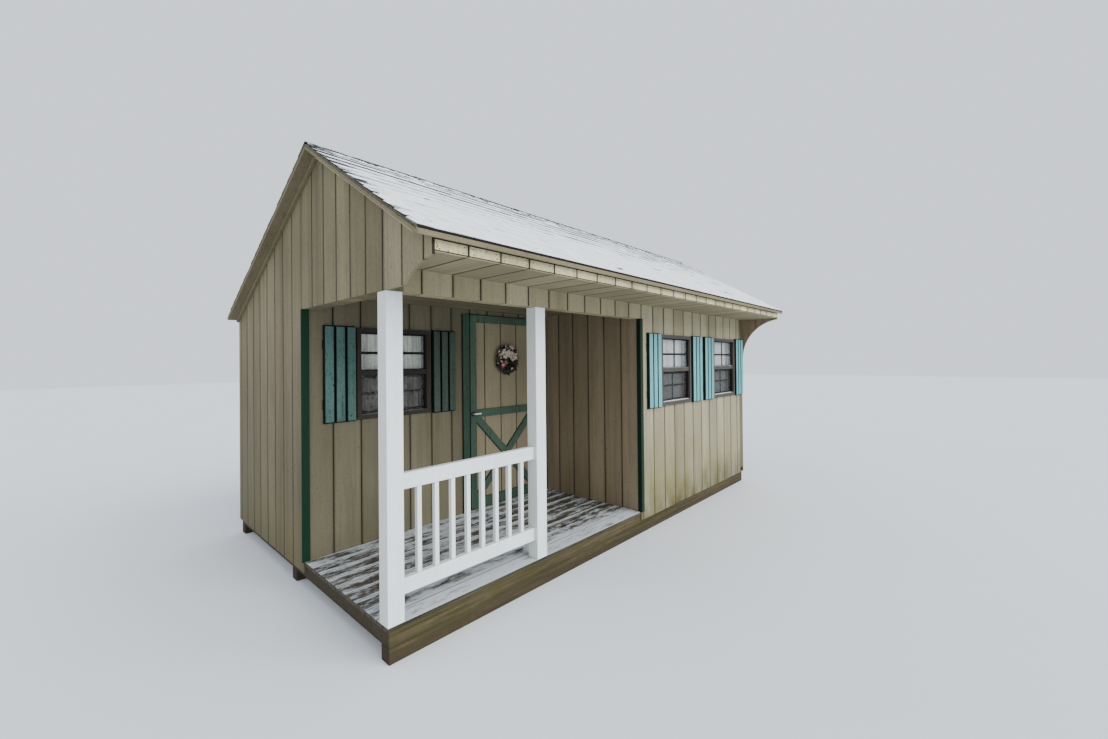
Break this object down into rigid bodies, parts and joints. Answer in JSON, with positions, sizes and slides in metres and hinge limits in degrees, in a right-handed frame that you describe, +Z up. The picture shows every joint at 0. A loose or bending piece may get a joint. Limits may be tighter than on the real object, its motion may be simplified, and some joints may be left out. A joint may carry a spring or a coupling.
{
  "type": "porch cabin",
  "caption": "Small wooden cabin on skids with a corner porch, railing, shuttered windows, a hinged plank door and an asymmetric gable roof whose front eave stands on curved brackets.",
  "frame": {"origin": "on the ground, under the middle of the walls' footprint, on the underside of the middle skid", "axes": "+X along the front to the right, as seen from in front; +Y from the front to the back; +Z up. The front, with the porch at its left, faces -Y."},
  "size_m": [5.049, 3.464, 3.0371],
  "materials": {
    "taupe_siding": "painted grooved plywood, flat and weathered",
    "treated_timber": "damp mossy treated timber",
    "bare_plywood": "bare sheet",
    "bare_lumber": "bare sawn lumber",
    "deck_boards": "weathered grey boards",
    "dark_shingles": "granular asphalt felt",
    "white_paint": "white paint, worn",
    "green_paint": "dark green paint, worn",
    "teal_paint": "teal paint, faded",
    "brown_frame": "dark brown, satin",
    "window_glass": "clear pane",
    "dark_hinge": "dark satin",
    "satin_metal": "satin",
    "wreath_flowers": "artificial flowers and leaves"
  },
  "bodies": {
    "hut": {"skids": "treated_timber", "rim_joists": "treated_timber", "floor_joists": "treated_timber", "floor_sheets": "bare_plywood", "porch_boards": "deck_boards", "left_wall": "taupe_siding", "left_porch_gable": "taupe_siding", "right_wall": "taupe_siding", "gable_brackets": "taupe_siding", "back_wall": "taupe_siding", "front_wall": "taupe_siding", "porch_header": "taupe_siding", "porch_side_wall": "taupe_siding", "porch_back_wall": "taupe_siding", "wall_beside_door": "taupe_siding", "wall_over_door": "taupe_siding", "porch_ceiling": "taupe_siding", "front_soffit": "taupe_siding", "front_fascia": "taupe_siding", "rafters": "bare_lumber", "roof_decking": "bare_plywood", "front_shingles": "dark_shingles", "back_shingles": "dark_shingles", "ridge_cap": "dark_shingles", "rake_boards": "taupe_siding", "eave_trims": "taupe_siding", "gable_friezes": "taupe_siding", "corner_post": "white_paint", "middle_post": "white_paint", "porch_rails": "white_paint", "balusters": "white_paint", "corner_trims": "green_paint", "door_casing": "green_paint", "porch_window": "brown_frame", "front_windows": "brown_frame", "window_panes": "window_glass", "porch_shutters": "teal_paint", "front_shutters": "teal_paint", "jamb_hinge_leaves": "dark_hinge"},
    "door": {"door_planks": "taupe_siding", "door_frame": "green_paint", "door_hinge_leaves": "dark_hinge", "door_lever": "satin_metal", "door_wreath": "wreath_flowers"}
  },
  "joints": [
    {"name": "door_hinge", "type": "hinge", "parent": "hut", "child": "door", "pos_m": [-0.1535, -0.2672, 1.13], "axis": [0, 0, 1], "range_deg": [0, 90]}
  ]
}
